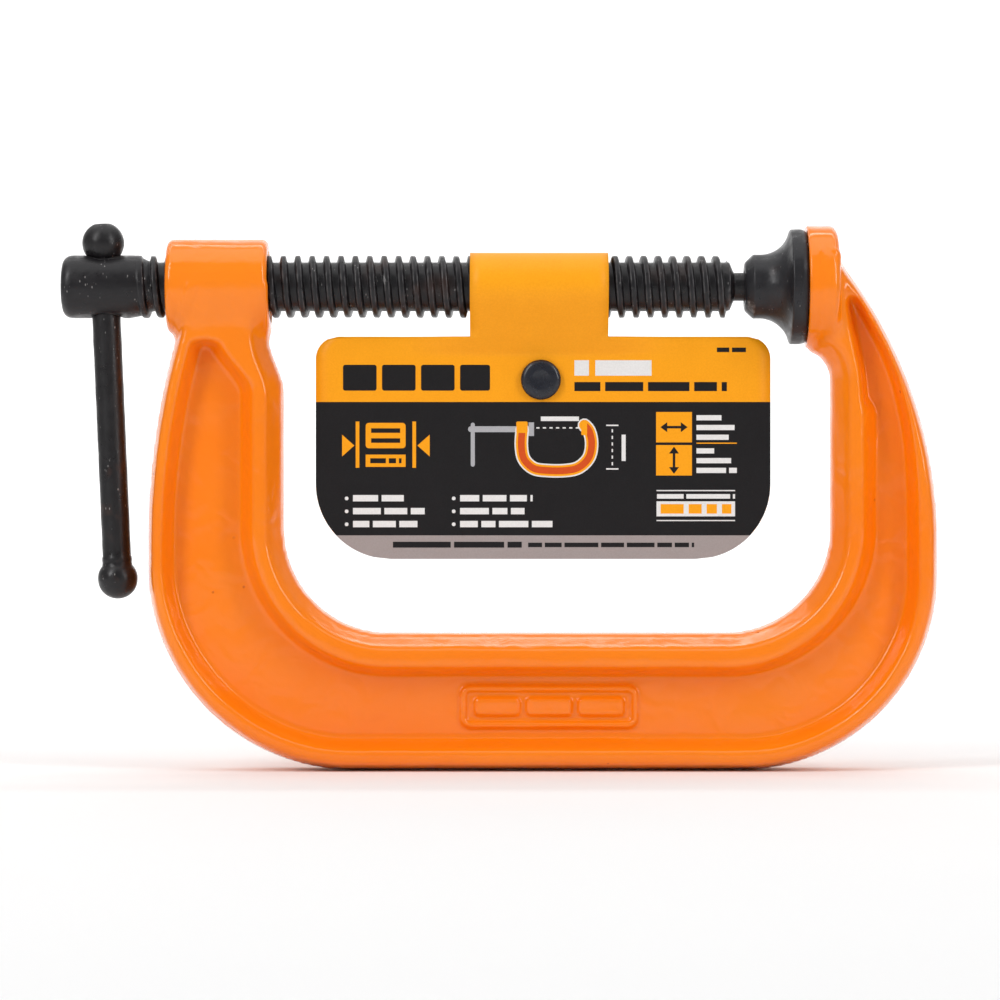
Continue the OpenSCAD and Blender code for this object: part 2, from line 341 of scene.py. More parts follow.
def arc(cx, cz, r, a0, a1):
    """Points along an arc of the side view, angles in degrees."""
    count = max(2, int(abs(math.radians(a1 - a0)) * r / SPACING))
    a = np.radians(np.linspace(a0, a1, count))
    return np.stack([cx + r * np.cos(a), cz + r * np.sin(a)], 1)


def line(a, b):
    """Points along a straight stretch of the side view."""
    a, b = np.array(a, float), np.array(b, float)
    count = max(2, int(np.linalg.norm(b - a) / SPACING))
    t = np.linspace(0, 1, count)[:, None]
    return a + (b - a) * t


def left_outer(z):
    """Outer side of the left upright, which bows in towards the boss."""
    return LEFT_X + LEFT_BOW_R - np.sqrt(LEFT_BOW_R ** 2 - np.maximum(z - BOW_Z, 0) ** 2)


def left_inner(z):
    """Throat side of the left upright, stepped back under the boss."""
    return THROAT_LEFT - 3.3 * smooth_step((z - 83) / 12)


def outer_curve():
    """Outer silhouette from inside the boss, down, along the spine and up to the back of the anvil."""
    z = np.arange(CURVE_TOP, CORNER_LEFT_R, -SPACING)
    return np.vstack([
        np.stack([left_outer(z), z], 1),
        arc(LEFT_X + CORNER_LEFT_R, CORNER_LEFT_R, CORNER_LEFT_R, 180, 270),
        line((LEFT_X + CORNER_LEFT_R, 0), (RIGHT_X - CORNER_RIGHT_R, 0)),
        arc(RIGHT_X - CORNER_RIGHT_R, CORNER_RIGHT_R, CORNER_RIGHT_R, 270, 360),
        line((RIGHT_X, CORNER_RIGHT_R), (RIGHT_X, BOW_Z)),
        arc(RIGHT_X - RIGHT_BOW_R, BOW_Z, RIGHT_BOW_R, 0, RIGHT_BOW_END),
    ])


def inner_curve():
    """Inner silhouette from inside the boss round the throat to the lower edge of the anvil."""
    z = np.arange(CURVE_TOP, SPINE_H + THROAT_R, -SPACING)
    shoulder_z, shoulder_r, lip_x = 85.5, 7.5, ANVIL_X + 2.5
    return np.vstack([
        np.stack([left_inner(z), z], 1),
        arc(THROAT_LEFT + THROAT_R, SPINE_H + THROAT_R, THROAT_R, 180, 270),
        line((THROAT_LEFT + THROAT_R, SPINE_H), (THROAT_RIGHT - THROAT_R, SPINE_H)),
        arc(THROAT_RIGHT - THROAT_R, SPINE_H + THROAT_R, THROAT_R, 270, 360),
        line((THROAT_RIGHT, SPINE_H + THROAT_R), (THROAT_RIGHT, shoulder_z)),
        arc(THROAT_RIGHT - shoulder_r, shoulder_z, shoulder_r, 0, 62),
        line((THROAT_RIGHT - 4.2, 92.3), (lip_x, 96)),
        line((lip_x, 96), (lip_x, SECTION_TOP)),
    ])


def side_distance(curve, points):
    """Signed distance of each point to a polyline, positive on its left side."""
    chunk = 4000
    a, b = curve[:-1], curve[1:]
    d = b - a
    keep = np.linalg.norm(d, axis=1) > 1e-9
    a, d = a[keep], d[keep]
    length2 = (d ** 2).sum(1)
    out = np.empty(len(points))
    for start in range(0, len(points), chunk):
        p = points[start:start + chunk, None, :]
        rel = p - a[None]
        t = np.clip((rel * d).sum(2) / length2, 0, 1)
        near = rel - t[..., None] * d
        dist2 = (near ** 2).sum(2)
        best = dist2.argmin(1)
        rows = np.arange(len(best))
        cross = d[best, 0] * rel[rows, best, 1] - d[best, 1] * rel[rows, best, 0]
        out[start:start + chunk] = np.sqrt(dist2[rows, best]) * np.sign(cross)
    return out


def outer_side(s):
    """Half width of the drafted outer side at distance s inside the silhouette."""
    places = [-1.0, 0.0, 0.12, 1.3, 1.7, 2.1, 2.5, 3.0]
    heights = [-9.0, 0.0, 2.5, 7.0, 7.9, 8.35, 8.5, 8.55]
    return np.interp(s, places, heights) + np.maximum(s - 3.0, 0) * 4


def inner_side(s):
    """Half width of the drafted inner side, which leans more than the outer one."""
    places = [-1.0, 0.0, 0.12, 2.9, 3.5, 4.0, 4.5, 5.0]
    heights = [-9.0, 0.0, 2.5, 7.3, 8.05, 8.4, 8.5, 8.55]
    return np.interp(s, places, heights) + np.maximum(s - 5.0, 0) * 4


def blur(field, sigma):
    """Gaussian blur of a 2D field, edges repeated."""
    reach = int(3 * sigma + 1)
    kernel = np.exp(-0.5 * (np.arange(-reach, reach + 1) / sigma) ** 2)
    kernel /= kernel.sum()
    for axis in (0, 1):
        padded = np.pad(field, [(reach, reach) if i == axis else (0, 0) for i in (0, 1)], mode="edge")
        field = sum(k * np.take(padded, np.arange(i, i + field.shape[axis]), axis)
                    for i, k in enumerate(kernel))
    return field


def soft_min(a, b, k):
    """The smaller of two fields, blended where they are within k of each other."""
    h = np.clip(0.5 + 0.5 * (b - a) / k, 0, 1)
    return b * (1 - h) + a * h - k * h * (1 - h)


def soft_max(a, b, k):
    """The larger of two fields, blended the same way."""
    return -soft_min(-a, -b, k)


def box_field(x, z, cx, cz, half_x, half_z, radius):
    """Signed distance to a rounded rectangle."""
    qx = np.abs(x - cx) - half_x + radius
    qz = np.abs(z - cz) - half_z + radius
    return np.hypot(np.maximum(qx, 0), np.maximum(qz, 0)) + np.minimum(np.maximum(qx, qz), 0) - radius


def web_mark(x, z):
    """A plain raised border with three bars, 1 on the raised parts."""
    cx, cz, length, height = 10.8, 14.0, 39.0, 9.2
    border = np.abs(box_field(x, z, cx, cz, length / 2 - 0.6, height / 2 - 0.6, 1.6)) - 0.6
    bar = length / 3 - 3
    bars = [box_field(x, z, cx + i * (bar + 1.4), cz, bar / 2, 2.0, 1.0) for i in (-1, 0, 1)]
    bars = np.minimum.reduce(bars)
    return smooth_step(0.5 - np.minimum(border, bars) / 0.7)


def half_thickness(x, z, s_out, s_in):
    """Half thickness of the recessed faces and of the drafted sides over the casting's side view."""
    left = x < MIDDLE_X
    upright = smooth_step((z - 12) / 34)
    angle = np.degrees(np.arctan2(z - BOW_Z, x - RIGHT_X + RIGHT_BOW_R))
    # distances from the silhouettes: the recess starts to sink at "flat" and reaches the web at "foot"
    out_flat = 4.1 + np.where(left, -0.6, 0.4) * upright
    out_foot = 7.4 + np.where(left, -1.2, -0.2) * upright
    up_right = smooth_step(angle / 27) * ~left
    out_flat = out_flat - 2.6 * up_right
    out_foot = out_foot - 3.9 * up_right
    neck_left = smooth_step((z - 84) / 13) * left
    in_flat = 7.3 - 1.3 * upright + 4.4 * neck_left
    in_foot = 9.7 + np.where(left, 0.1, 0.5) * upright + 4.2 * neck_left
    u_out = (s_out - out_flat) / (out_foot - out_flat)
    u_in = (s_in - in_flat) / (in_foot - in_flat)
    # near the anvil the recess narrows to a teardrop that follows the outer side
    heights = [60, 70, 79, 88, 92.3, 97.5, 102, 104.4]
    tear = np.interp(z, heights, [24.0, 17.2, 12.7, 10.0, 8.9, 7.4, 5.6, 4.4])
    u_tear = soft_min(u_in + 2.5 * smooth_step((z - 78) / 14), (tear - s_out) / 2.0, 0.3)
    u_in = np.where(~left & (z > heights[0]), u_tear, u_in)
    u_top = np.where(left, (RECESS_TOP_LEFT - z) / 1.1, (RECESS_TOP_RIGHT - z) / 1.6)
    u_top = np.where(z < heights[0], 9.0, u_top)
    u = soft_min(soft_min(u_out, u_in, 0.25), u_top, 1.1)
    flange = FLANGE_Y - (FLANGE_Y - WEB_Y) * smooth_step(u)
    return flange, soft_min(outer_side(s_out), inner_side(s_in), 0.6)


def casting_field():
    """Grid of the casting's side view, its half thickness, and how steep the surface over it is."""
    margin = 3
    x = np.arange(LEFT_X - margin, RIGHT_X + margin, STEP)
    z = np.arange(-margin, FRAME_HIGH[2] + margin, STEP)
    gx, gz = np.meshgrid(x, z, indexing="ij")
    points = np.stack([gx.ravel(), gz.ravel()], 1)
    s_out = side_distance(outer_curve(), points).reshape(gx.shape)
    s_in = -side_distance(inner_curve(), points).reshape(gx.shape)
    flange, side = half_thickness(gx, gz, s_out, s_in)
    flange = blur(flange, 0.6)
    flange += MARK_RELIEF * web_mark(gx, gz)
    rng = np.random.default_rng(7)
    ripple = blur(rng.standard_normal(gx.shape), 9.0)
    ripple *= RIPPLE / np.abs(ripple).max()
    half = soft_min(flange + ripple, blur(side, 0.5), 0.5)
    dx, dz = np.gradient(half, STEP)
    return x, z, half, np.sqrt(1 + dx ** 2 + dz ** 2)


def ring_field(x, radial, x0, x1, r, edge):
    """Signed distance to a cylinder along X with rounded edges."""
    qx = np.abs(x - (x0 + x1) / 2) - (x1 - x0) / 2 + edge
    qr = radial - r + edge
    return np.hypot(np.maximum(qx, 0), np.maximum(qr, 0)) + np.minimum(np.maximum(qx, qr), 0) - edge


def casting_distance(x, y, z, half, steep):
    """Distance to the casting's surface, negative inside."""
    section = (np.abs(y) - half) / steep
    section = soft_max(section, z - np.where(x < MIDDLE_X, AXIS_Z - 1.0, SECTION_TOP), 0.5)
    radial = np.hypot(y, z - AXIS_Z)
    boss = ring_field(x, radial, BOSS_X[0], BOSS_X[1], BOSS_R, BOSS_EDGE_R)
    anvil_back = ring_field(x, radial, ANVIL_X, ANVIL_X + ANVIL_T, ANVIL_R, ANVIL_EDGE_R)
    anvil_front = ring_field(x, radial, ANVIL_X, ANVIL_X + ANVIL_T / 2, ANVIL_R, SHARP_EDGE_R)
    body = soft_min(section, boss, BOSS_FILLET)
    body = soft_min(body, np.minimum(anvil_back, anvil_front), ANVIL_FILLET)
    # the bore widens at both mouths, and nothing stands proud of the anvil's face
    into_mouth = np.abs(x - (BOSS_X[0] + BOSS_X[1]) / 2) - (BOSS_X[1] - BOSS_X[0]) / 2 + MOUTH_CHAMFER
    bore = radial - BORE_R - np.clip(into_mouth, 0, MOUTH_CHAMFER)
    body = soft_max(body, np.where(x < 0, -bore, -9.0), SHARP_EDGE_R)
    by_the_face = (x > ANVIL_X - 12) & (radial < ANVIL_R + 3) & (x < ANVIL_X + 4)
    return np.where(by_the_face, soft_max(body, ANVIL_X - x, SHARP_EDGE_R), body)


def surface_net(field, origin, step):
    """Naive surface nets: one vertex in each cell the surface crosses, and a quad round each crossed edge."""
    inside = field < 0
    nx, ny, nz = field.shape
    corner = [(i, j, k) for i in (0, 1) for j in (0, 1) for k in (0, 1)]
    count = sum(inside[i:nx - 1 + i, j:ny - 1 + j, k:nz - 1 + k].astype(np.int8) for i, j, k in corner)
    active = (count > 0) & (count < 8)
    cells = np.argwhere(active)
    index = -np.ones(active.shape, np.int64)
    index[active] = np.arange(len(cells))
    total = np.zeros((len(cells), 3))
    hits = np.zeros(len(cells))
    for axis in range(3):
        for c in corner:
            if c[axis]:
                continue
            a = cells + c
            b = a.copy()
            b[:, axis] += 1
            va = field[a[:, 0], a[:, 1], a[:, 2]]
            vb = field[b[:, 0], b[:, 1], b[:, 2]]
            cross = (va < 0) != (vb < 0)
            t = np.where(cross, va / np.where(cross, va - vb, 1), 0)
            point = a.astype(float)
            point[:, axis] += t
            total[cross] += point[cross]
            hits[cross] += 1
    points = origin + step * total / hits[:, None]
    faces = []
    for axis in range(3):
        u, v = [(1, 2), (2, 0), (0, 1)][axis]
        near, far = (inside[tuple(pick if i == axis else slice(1, -1) for i in range(3))]
                     for pick in (slice(0, -1), slice(1, None)))
        offset = np.ones(3, int)
        offset[axis] = 0
        at = np.argwhere(near != far) + offset
        du, dv = np.zeros(3, int), np.zeros(3, int)
        du[u], dv[v] = 1, 1
        quad = [index[tuple((at - s * du - t * dv).T)] for s, t in ((0, 0), (1, 0), (1, 1), (0, 1))]
        quad = np.stack(quad, 1)
        flip = inside[tuple(at.T)]
        quad[~flip] = quad[~flip][:, ::-1]
        faces.append(quad)
    return points, np.vstack(faces)


def sample(field, x, z, px, pz):
    """Bicubic look-up of a 2D field at points."""
    u, v = (px - x[0]) / STEP, (pz - z[0]) / STEP
    iu = np.clip(np.floor(u).astype(int), 1, len(x) - 3)
    iv = np.clip(np.floor(v).astype(int), 1, len(z) - 3)
    fu, fv = u - iu, v - iv

    def weights(t):
        return (((-0.5 * t + 1) * t - 0.5) * t, (1.5 * t - 2.5) * t * t + 1,
                ((-1.5 * t + 2) * t + 0.5) * t, (0.5 * t - 0.5) * t * t)

    wu, wv = weights(fu), weights(fv)
    out = 0
    for i in range(4):
        for j in range(4):
            out = out + wu[i] * wv[j] * field[iu + i - 1, iv + j - 1]
    return out


def build_casting():
    """The whole casting as one skin, meshed from its distance field and settled onto it."""
    x, z, half, steep = casting_field()
    y = np.arange(-ANVIL_R - 1.5, ANVIL_R + 1.5, STEP)
    field = np.empty((len(x), len(y), len(z)), np.float32)
    for j, yy in enumerate(y):
        field[:, j, :] = casting_distance(x[:, None], yy, z[None, :], half, steep)
    points, quads = surface_net(field, np.array([x[0], y[0], z[0]]), STEP)

    def distance(p):
        h = sample(half, x, z, p[:, 0], p[:, 2])
        g = sample(steep, x, z, p[:, 0], p[:, 2])
        return casting_distance(p[:, 0], p[:, 1], p[:, 2], h, g)

    for _ in range(2):
        points = relax(points, quads)
        for _ in range(2):
            points = settle(points, distance)
    points = np.clip(points, FRAME_LOW, FRAME_HIGH)
    return new_object("cast_frame", points, [tuple(int(i) for i in q) for q in quads])


def relax(points, quads):
    """Moves each vertex halfway to the middle of its neighbours."""
    total = np.zeros_like(points)
    count = np.zeros(len(points))
    for a, b in ((0, 1), (1, 2), (2, 3), (3, 0)):
        np.add.at(total, quads[:, a], points[quads[:, b]])
        np.add.at(total, quads[:, b], points[quads[:, a]])
        np.add.at(count, quads[:, a], 1)
        np.add.at(count, quads[:, b], 1)
    return 0.5 * points + 0.5 * total / np.maximum(count, 1)[:, None]


def settle(points, distance, h=0.15):
    """One Newton step of every vertex onto the surface."""
    d = distance(points)
    grad = np.empty_like(points)
    for axis in range(3):
        shift = np.zeros(3)
        shift[axis] = h
        grad[:, axis] = (distance(points + shift) - distance(points - shift)) / (2 * h)
    length2 = np.maximum((grad ** 2).sum(1), 0.2)
    move = -(d / length2)[:, None] * grad
    size = np.linalg.norm(move, axis=1)
    move *= (np.minimum(size, 0.4) / np.maximum(size, 1e-9))[:, None]
    return points + move


# ---------- the screw
HUB_LEFT = SCREW_LOW[0]
HUB_R = 6.95
HUB_EDGE_R = 2.6
CREST_R = 6.83
ROOT_R = 5.4
THREAD_START = -81.34
RUN_OUT = (-80.8, -76.0)
THREAD_END = 49.5
PLAIN_END = 50.5
NECK_X = 51.5
NECK_R = 3.1
BALL_RINGS = 13
BALL_X = ANVIL_X - 7.8
BALL_R = 4.3
HOLE_X = -87.07
HOLE_R = 3.55
HANDLE_LEAN = math.asin(-JOINTS["handle_slide"]["axis"][0])


def ridge(phase):
    """Height of the thread's ridge, 0 to 1, at a phase of 0 to 1 through one pitch."""
    places = [0.0, 0.02, 0.06, 0.135, 0.18, 0.22, 0.42, 0.46, 0.505, 0.58, 0.62, 0.64, 1.0]
    heights = [0.0, 0.0, 0.10, 0.86, 0.98, 1.0, 1.0, 0.98, 0.86, 0.10, 0.0, 0.0, 0.0]
    return np.interp(phase, places, heights)


def screw_radius(x, phase, angle):
    """Radius of the screw at a place along it, with the root rising to the hub at the run-out."""
    run = smooth_step((x - RUN_OUT[0]) / (RUN_OUT[1] - RUN_OUT[0]))
    root = HUB_R + (ROOT_R - HUB_R) * run
    crest = HUB_R + (CREST_R - HUB_R) * run
    worn = 0.05 * np.sin(3 * angle + 0.37 * x) * np.sin(1.7 * x + angle)
    fade = smooth_step((x - THREAD_END) / 0.8)
    r = root + (crest + worn - root) * ridge(phase) * (1 - fade)
    cone = ROOT_R + (NECK_R - ROOT_R) * (x - PLAIN_END) / (NECK_X - PLAIN_END)
    cone = np.where(x < PLAIN_END, CREST_R + 1, cone)
    return np.maximum(np.minimum(r, cone), NECK_R)


def build_screw():
    """One skin: the rounded hub, a helical lattice for the thread, the neck and the ball."""
    segments = 72
    phases = np.array([0.0, 0.02, 0.06, 0.095, 0.135, 0.18, 0.22, 0.32,
                       0.42, 0.46, 0.505, 0.545, 0.58, 0.62, 0.64, 0.82])
    per = len(phases)
    turns = int((NECK_X + 1.5 - THREAD_START) / PITCH)
    rows = turns * per
    angles = np.arange(segments) * TAU / segments
    points, faces = [], []

    def ring(x, r):
        start = len(points)
        points.extend((x, r * math.cos(a), r * math.sin(a)) for a in angles)
        return start

    def band(a, b):
        for j in range(segments):
            k = (j + 1) % segments
            faces.append((a + j, a + k, b + k, b + j))

    hub = fillet_profile([(HUB_LEFT, 0.0), (HUB_LEFT, HUB_R), (HUB_LEFT + 8, HUB_R)], [0, HUB_EDGE_R, 0], 8)
    points.append((HUB_LEFT, 0.0, 0.0))
    rings = [ring(HUB_LEFT, 2.0)] + [ring(x, r) for x, r in hub[1:]] + [ring(THREAD_START - 0.3, HUB_R)]
    for j in range(segments):
        faces.append((0, rings[0] + (j + 1) % segments, rings[0] + j))
    for a, b in zip(rings, rings[1:]):
        band(a, b)

    lattice = len(points)
    row = np.arange(rows + 1)
    phase = phases[row % per]
    base = THREAD_START + PITCH * (row // per + phase)
    for a in angles:
        x = base + PITCH * a / TAU
        r = screw_radius(x, phase, a)
        points.extend(zip(x, r * math.cos(a), r * math.sin(a)))

    def at(j, i):
        """Lattice vertex at angle step j and row i; a full turn moves on by one pitch of rows."""
        return lattice + (j % segments) * (rows + 1) + i + per * (j // segments)

    for j in range(segments):
        for i in range(rows - (per if j == segments - 1 else 0)):
            faces.append((at(j, i), at(j + 1, i), at(j + 1, i + 1), at(j, i + 1)))
    hub_ring = rings[-1]
    for j in range(segments - 1):
        faces.append((hub_ring + j, hub_ring + j + 1, at(j + 1, 0), at(j, 0)))
    step_up = [at(0, i) for i in range(per + 1)]
    faces.append(tuple([hub_ring + segments - 1, hub_ring] + step_up + [at(segments - 1, 0)]))

    neck_ring = ring(base[-1] + PITCH + 0.2, NECK_R)
    for j in range(segments - 1):
        faces.append((at(j, rows), at(j + 1, rows), neck_ring + j + 1, neck_ring + j))
    step_down = [at(segments - 1, i) for i in range(rows, rows - per - 1, -1)]
    faces.append(tuple([at(0, rows), neck_ring, neck_ring + segments - 1] + step_down))

    ball_start = math.asin(NECK_R / BALL_R)
    previous = neck_ring
    for i in range(BALL_RINGS):
        a = ball_start + (math.pi - ball_start) * i / BALL_RINGS
        now = ring(BALL_X - BALL_R * math.cos(a), BALL_R * math.sin(a))
        band(previous, now)
        previous = now
    tip = len(points)
    points.append((BALL_X + BALL_R, 0.0, 0.0))
    for j in range(segments):
        faces.append((previous + j, previous + (j + 1) % segments, tip))
    screw = new_object("screw_rod", np.array(points) + [0, 0, AXIS_Z], faces)
    return cut_cross_hole(screw)


def handle_frame(points):
    """Turns lathe points, with X as their axis, to the handle's own axis through the hub's hole."""
    up = np.array([-math.sin(HANDLE_LEAN), 0, math.cos(HANDLE_LEAN)])
    across = np.array([0.0, 1.0, 0.0])
    third = np.cross(up, across)
    points = np.asarray(points, float)
    centre = np.array([HOLE_X, 0, AXIS_Z])
    return centre + points[:, :1] * up + points[:, 1:2] * across + points[:, 2:3] * third


def stand_on_handle(obj):
    """Moves a lathed piece onto the handle's axis."""
    coords = np.array([v.co for v in obj.data.vertices]) / MM
    for vertex, place in zip(obj.data.vertices, handle_frame(coords) * MM):
        vertex.co = place
    obj.data.update()
    return obj


def shift(obj, offset_mm):
    """Moves a piece's points, with its origin left where it is."""
    for vertex in obj.data.vertices:
        vertex.co += Vector(offset_mm) * MM
    obj.data.update()
    return obj


def cut_cross_hole(screw):
    """Drills the handle's hole, with a small countersink at both mouths."""
    mouth, end = HUB_R - 0.45, 12
    wide = HOLE_R + end - mouth
    profile = [(-end, 0), (-end, wide), (-mouth, HOLE_R), (mouth, HOLE_R), (end, wide), (end, 0)]
    drill = stand_on_handle(lathe("drill", profile, 64))
    cut = screw.modifiers.new("hole", "BOOLEAN")
    cut.operation = "DIFFERENCE"
    cut.solver = "EXACT"
    cut.object = drill
    apply_modifiers(screw)
    bpy.data.objects.remove(drill)
    return screw


# ---------- the handle
BAR_R = 3.12
TOP_BALL_R = 4.62
TOP_BALL_S = 9.6
LOW_BALL_R = 4.4
LOW_BALL_S = TOP_BALL_S - 74.0
SPIGOT_R = 2.45


def build_handle_bar():
    """Bar with its upset ball at the lower end and the spigot for the upper ball."""
    collar = LOW_BALL_S + 4.0
    shoulder = TOP_BALL_S - math.sqrt(TOP_BALL_R ** 2 - BAR_R ** 2)
    ball = [(LOW_BALL_S - LOW_BALL_R * math.cos(a), LOW_BALL_R * math.sin(a))
            for a in np.linspace(0.02, math.pi - 0.86, 22)]
    bar = [(collar - 0.4, BAR_R + 0.10), (collar + 0.1, BAR_R + 0.18), (collar + 0.7, BAR_R + 0.15),
           (collar + 1.0, BAR_R)]
    bar += [(s, BAR_R) for s in np.linspace(collar + 2, shoulder - 0.3, 40)]
    bar += [(shoulder, BAR_R - 0.15), (shoulder, SPIGOT_R), (shoulder + 4.6, SPIGOT_R), (shoulder + 4.9, 2.2)]
    profile = [(LOW_BALL_S - LOW_BALL_R, 0)] + ball + bar + [(shoulder + 4.9, 0)]

    def wobble(s, r, a):
        return 0.035 * math.sin(0.9 * s + 2 * a) * math.sin(0.23 * s + 1.0)

    return stand_on_handle(lathe("handle_rod", profile, 64, wobble))


def build_handle_ball():
    """Drilled ball, flattened on top where it was pressed home."""
    flat = 4.24
    crown = math.asin(math.sqrt(TOP_BALL_R ** 2 - flat ** 2) / TOP_BALL_R)
    foot = math.asin(BAR_R / TOP_BALL_R)
    shoulder = -TOP_BALL_R * math.cos(foot)
    outside = [(-TOP_BALL_R * math.cos(a), TOP_BALL_R * math.sin(a))
               for a in np.linspace(foot, math.pi - crown, 36)]
    top = [(flat + 0.02, 1.45), (flat + 0.01, 0.8)]
    bore = [(shoulder + 5.2, 0.0), (shoulder + 5.2, SPIGOT_R + 0.05), (shoulder, SPIGOT_R + 0.05)]
    profile = [(TOP_BALL_S + s, r) for s, r in bore + outside + top + [(flat, 0.0)]]

    def wobble(s, r, a):
        return 0.015 * math.sin(0.9 * s + 2 * a) if r > 2.6 else 0.0

    return stand_on_handle(lathe("handle_knob", profile, 72, wobble))


# ---------- the swivel pad
def build_pad():
    """Socket crimped over the screw's ball, a short neck, and a flare out to the flat face."""
    face, back = PAD_HIGH[0], PAD_LOW[0]
    rim_r, small_r = PAD_HIGH[1], 7.05
    socket_r, mouth_r = BALL_R + 0.3, NECK_R + 0.6
    first = math.asin(mouth_r / socket_r)
    socket = [(BALL_X + socket_r * math.cos(a), socket_r * math.sin(a))
              for a in np.linspace(0.05, math.pi - first, 14)]
    flare_r = 6.6
    start = back + 3.4
    lip = fillet_profile([(back + 1.2, mouth_r), (back, mouth_r), (back, small_r - 1.75),
                          (back + 1.9, small_r + 0.02), (back + 2.5, small_r), (start, small_r)],
                         [0, 0.3, 0.5, 0.35, 0.2, 0], 3)
    reach = math.acos(1 - (rim_r - 0.75 - small_r) / flare_r)
    flare = [(start + flare_r * math.sin(a), small_r + flare_r * (1 - math.cos(a)))
             for a in np.linspace(0.05, reach, 18)]
    rim = fillet_profile([flare[-1], (flare[-1][0] + 0.25, rim_r - 0.05), (face - 1.2, rim_r - 0.02),
                          (face, rim_r - 0.35), (face, rim_r - 2)], [0, 0.35, 0.3, 0.4, 0], 4)
    front = [(face, 8.0), (face, 4.0), (face, 0.0)]
    profile = [(BALL_X + socket_r, 0.0), *socket, *lip, *flare[:-1], *rim, *front]

    def wobble(x, r, a):
        worn = 0.06 * math.sin(5 * a + 0.6 * x) * math.sin(2 * a + 1.0)
        return worn if r > 6.0 and x < face - 0.5 else 0.0

    return shift(lathe("swivel_shoe", profile, 128, wobble), (0, 0, AXIS_Z))


# ---------- the hang card
CARD_T = 0.38
CARD_TOP = 95.4
CARD_FOOT = CARD_LOW[2]
CARD_LEFT, CARD_RIGHT = CARD_LOW[0], CARD_HIGH[0]
BAND_X = 8.6
BAND_W = 30.4
FOLD_R = CARD_HIGH[2] - AXIS_Z - CARD_T - 0.05
FOLD_DROP = 14.9
TOP_CORNER_R = 4.9
LOW_CORNER_R = 16.5
LAYER_GAP = 0.05
FRONT_Y = -(CARD_T + LAYER_GAP)
LEAN = math.acos(FOLD_R / FOLD_DROP)
BAND_POINTS = 13
SIDE_POINTS = 12


def card_side(z):
    """Left and right end of the card's body at height z."""
    inset = 0.0
    if z > CARD_TOP - TOP_CORNER_R:
        h = z - (CARD_TOP - TOP_CORNER_R)
        inset = TOP_CORNER_R - math.sqrt(max(TOP_CORNER_R ** 2 - h * h, 0))
    if z < CARD_FOOT + LOW_CORNER_R:
        h = CARD_FOOT + LOW_CORNER_R - z
        inset = LOW_CORNER_R - math.sqrt(max(LOW_CORNER_R ** 2 - h * h, 0))
    return CARD_LEFT + inset, CARD_RIGHT - inset


def spread(x, z):
    """How far a layer stands off the middle plane: the band opens round the screw and the body follows."""
    opening = max(z - AXIS_Z + FOLD_DROP, 0.0) / math.tan(LEAN)
    away = max(abs(x - BAND_X) - BAND_W / 2, 0.0)
    return opening * math.exp(-(away / 9.0) ** 2)


def card_layer(side):
    """One layer of the card's body and half of the fold over the screw, as rows of points."""
    tangent_z = AXIS_Z - FOLD_R * math.cos(LEAN)
    band = np.linspace(BAND_X - BAND_W / 2, BAND_X + BAND_W / 2, BAND_POINTS)
    heights = sorted({CARD_FOOT, CARD_TOP, *np.linspace(CARD_FOOT, CARD_FOOT + LOW_CORNER_R, 15),
                      *np.linspace(CARD_FOOT + LOW_CORNER_R, CARD_TOP - TOP_CORNER_R, 12),
                      *np.linspace(CARD_TOP - TOP_CORNER_R, CARD_TOP, 9)})
    rows = []
    for z in heights:
        left, right = card_side(z)
        before, after = np.linspace(left, band[0], SIDE_POINTS), np.linspace(band[-1], right, SIDE_POINTS)
        xs = np.concatenate([before[:-1], band, after[1:]])
        rows.append([(x, side * (LAYER_GAP + spread(x, z)), z) for x in xs])
    neck = []
    for z in np.linspace(CARD_TOP, tangent_z, 5)[1:]:
        neck.append([(x, side * (LAYER_GAP + spread(x, z)), z) for x in band])
    for a in np.linspace(LEAN, math.pi, 14)[1:]:
        y = side * FOLD_R * math.sin(a)
        z = AXIS_Z - FOLD_R * math.cos(a)
        neck.append([(x, y, z) for x in band])
    return rows, neck


def build_card():
    """The folded board: two layers that meet over the screw, thickened outwards."""
    points, faces = [], []

    def strip(lower, upper, side):
        """Quads between two rows of point numbers."""
        for a, b, c, d in zip(lower, lower[1:], upper[1:], upper):
            faces.append((a, b, c, d) if side < 0 else (d, c, b, a))

    for side in (-1, 1):
        rows, neck = card_layer(side)
        below = None
        for row in rows + neck:
            here = list(range(len(points), len(points) + len(row)))
            points.extend(row)
            if below and len(below) > len(here):
                below = below[SIDE_POINTS - 1:SIDE_POINTS - 1 + BAND_POINTS]
            if below:
                strip(below, here, side)
            below = here
    card = new_object("card_board", points, faces)
    weld = card.modifiers.new("weld", "WELD")
    weld.merge_threshold = 0.02 * MM
    thick = card.modifiers.new("thick", "SOLIDIFY")
    thick.thickness = CARD_T * MM
    thick.offset = 1.0
    thick.use_even_offset = True
    apply_modifiers(card)
    return card


